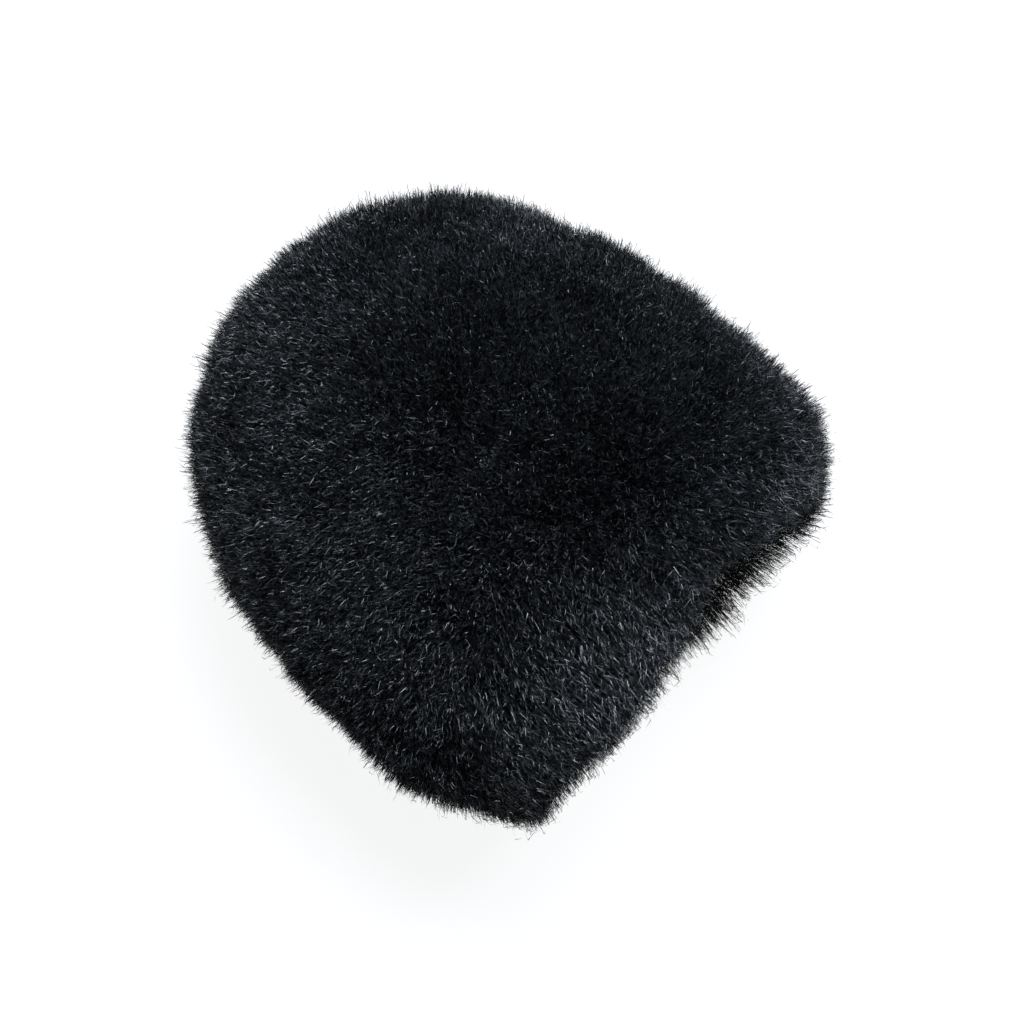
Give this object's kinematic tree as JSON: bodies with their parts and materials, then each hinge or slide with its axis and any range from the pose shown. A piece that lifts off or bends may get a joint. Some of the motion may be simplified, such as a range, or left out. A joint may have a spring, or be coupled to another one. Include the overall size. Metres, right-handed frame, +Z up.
{
  "type": "furry windscreen",
  "caption": "Slip-on black fur windscreen pouch for a handheld sound recorder: domed, foam backed and lined, with an elastic gathered mouth.",
  "frame": {"origin": "middle of the bounding box of the underside, on the surface that the windscreen lies on", "axes": "+X across the width, +Y from the mouth to the dome, +Z up through the thickness"},
  "size_m": [0.1468, 0.1446, 0.0791],
  "materials": {
    "fur": "long-pile faux fur, satin fibres",
    "foam": "open-cell foam, matte",
    "lining": "fine knitted tricot, soft sheen",
    "tape": "woven seam tape, matte",
    "binding": "woven binding, matte",
    "elastic": "ribbed woven elastic, satin",
    "thread": "polyester thread, satin"
  },
  "bodies": {
    "root": {"fur_top_panel": "fur", "fur_bottom_panel": "fur", "fur_side_gusset": "fur", "foam_top_panel": "foam", "foam_bottom_panel": "foam", "foam_side_gusset": "foam", "lining_top_panel": "lining", "lining_bottom_panel": "lining", "lining_side_gusset": "lining", "fur_seam_thread_top": "thread", "fur_seam_thread_bottom": "thread", "lining_seam_thread_top": "thread", "lining_seam_thread_bottom": "thread", "seam_tape_top": "tape", "seam_tape_bottom": "tape", "hem_binding": "binding", "hem_elastic": "elastic", "elastic_join_stitch": "thread", "hem_stitch_row_front": "thread", "hem_stitch_row_back": "thread"}
  },
  "joints": []
}
